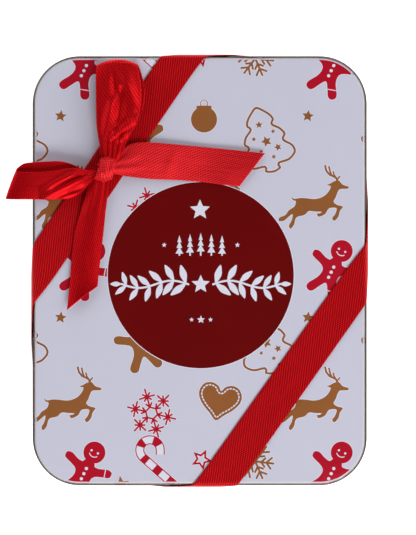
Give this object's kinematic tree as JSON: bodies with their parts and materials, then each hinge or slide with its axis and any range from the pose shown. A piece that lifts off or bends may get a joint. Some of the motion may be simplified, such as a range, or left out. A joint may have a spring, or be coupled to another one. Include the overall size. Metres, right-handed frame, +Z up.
{
  "type": "cookie tin",
  "caption": "Low rounded-rectangle gift tin with a slip lid of printed tinplate, a red satin ribbon tied over two of its corners and a flat bow.",
  "frame": {"origin": "under the middle of the whole object's extent, bow included, at the height of the surface that it stands on", "axes": "+Y along the tin's long side, +Z up through the lid; the bow is on the lid's -X +Y side and one of its loops stands out past the -X edge"},
  "size_m": [0.1604, 0.1918, 0.056],
  "materials": {
    "printed_tinplate": "satin lithographed enamel in white with dark red and gold festive shapes",
    "bare_tinplate": "bare rolled tinplate, softly bright",
    "band_ribbon": "satin ribbon, dull woven side out",
    "bow_ribbon": "satin ribbon, lustrous"
  },
  "bodies": {
    "base": {"body_wall": "bare_tinplate", "bottom_panel": "bare_tinplate", "band_base_left": "band_ribbon", "band_base_rear": "band_ribbon", "band_base_right": "band_ribbon", "band_base_front": "band_ribbon", "band_under_right_rear": "band_ribbon", "band_under_left_front": "band_ribbon"},
    "lid": {"lid_shell": "printed_tinplate", "band_top_left_rear": "band_ribbon", "band_top_right_front": "band_ribbon", "band_lid_left": "band_ribbon", "band_lid_rear": "band_ribbon", "band_lid_right": "band_ribbon", "band_lid_front": "band_ribbon", "bow_knot": "bow_ribbon", "bow_rear_loop": "bow_ribbon", "bow_left_loop": "bow_ribbon", "bow_right_tail": "bow_ribbon", "bow_front_tail": "bow_ribbon"}
  },
  "joints": [
    {"name": "lid_lift", "type": "slide", "parent": "base", "child": "lid", "axis": [0, 0, 1], "range_m": [0, 0.06]}
  ]
}
